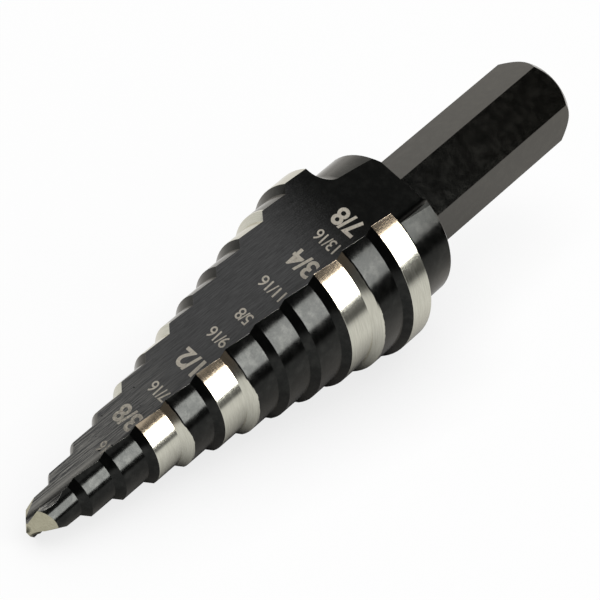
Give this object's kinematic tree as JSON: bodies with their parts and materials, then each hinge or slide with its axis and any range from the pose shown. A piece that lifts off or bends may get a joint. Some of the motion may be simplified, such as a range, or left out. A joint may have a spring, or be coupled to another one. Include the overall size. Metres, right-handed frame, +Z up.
{
  "type": "step drill",
  "caption": "One-piece double-fluted step drill with a short split point, graduated cutting steps, a plain collar and a hexagonal quick-change shank.",
  "frame": {"origin": "bottom centre of the bounding box, on the surface that the drill lies on", "axes": "+X from the point to the shank, +Z up; the drill lies on one flute, point down, so its axis rises by 8.7 degrees towards +X"},
  "size_m": [0.0818, 0.022, 0.0198],
  "materials": {
    "black_oxide_steel": "black oxide with bright ground rings"
  },
  "bodies": {
    "root": {"step_drill": "black_oxide_steel"}
  },
  "joints": []
}
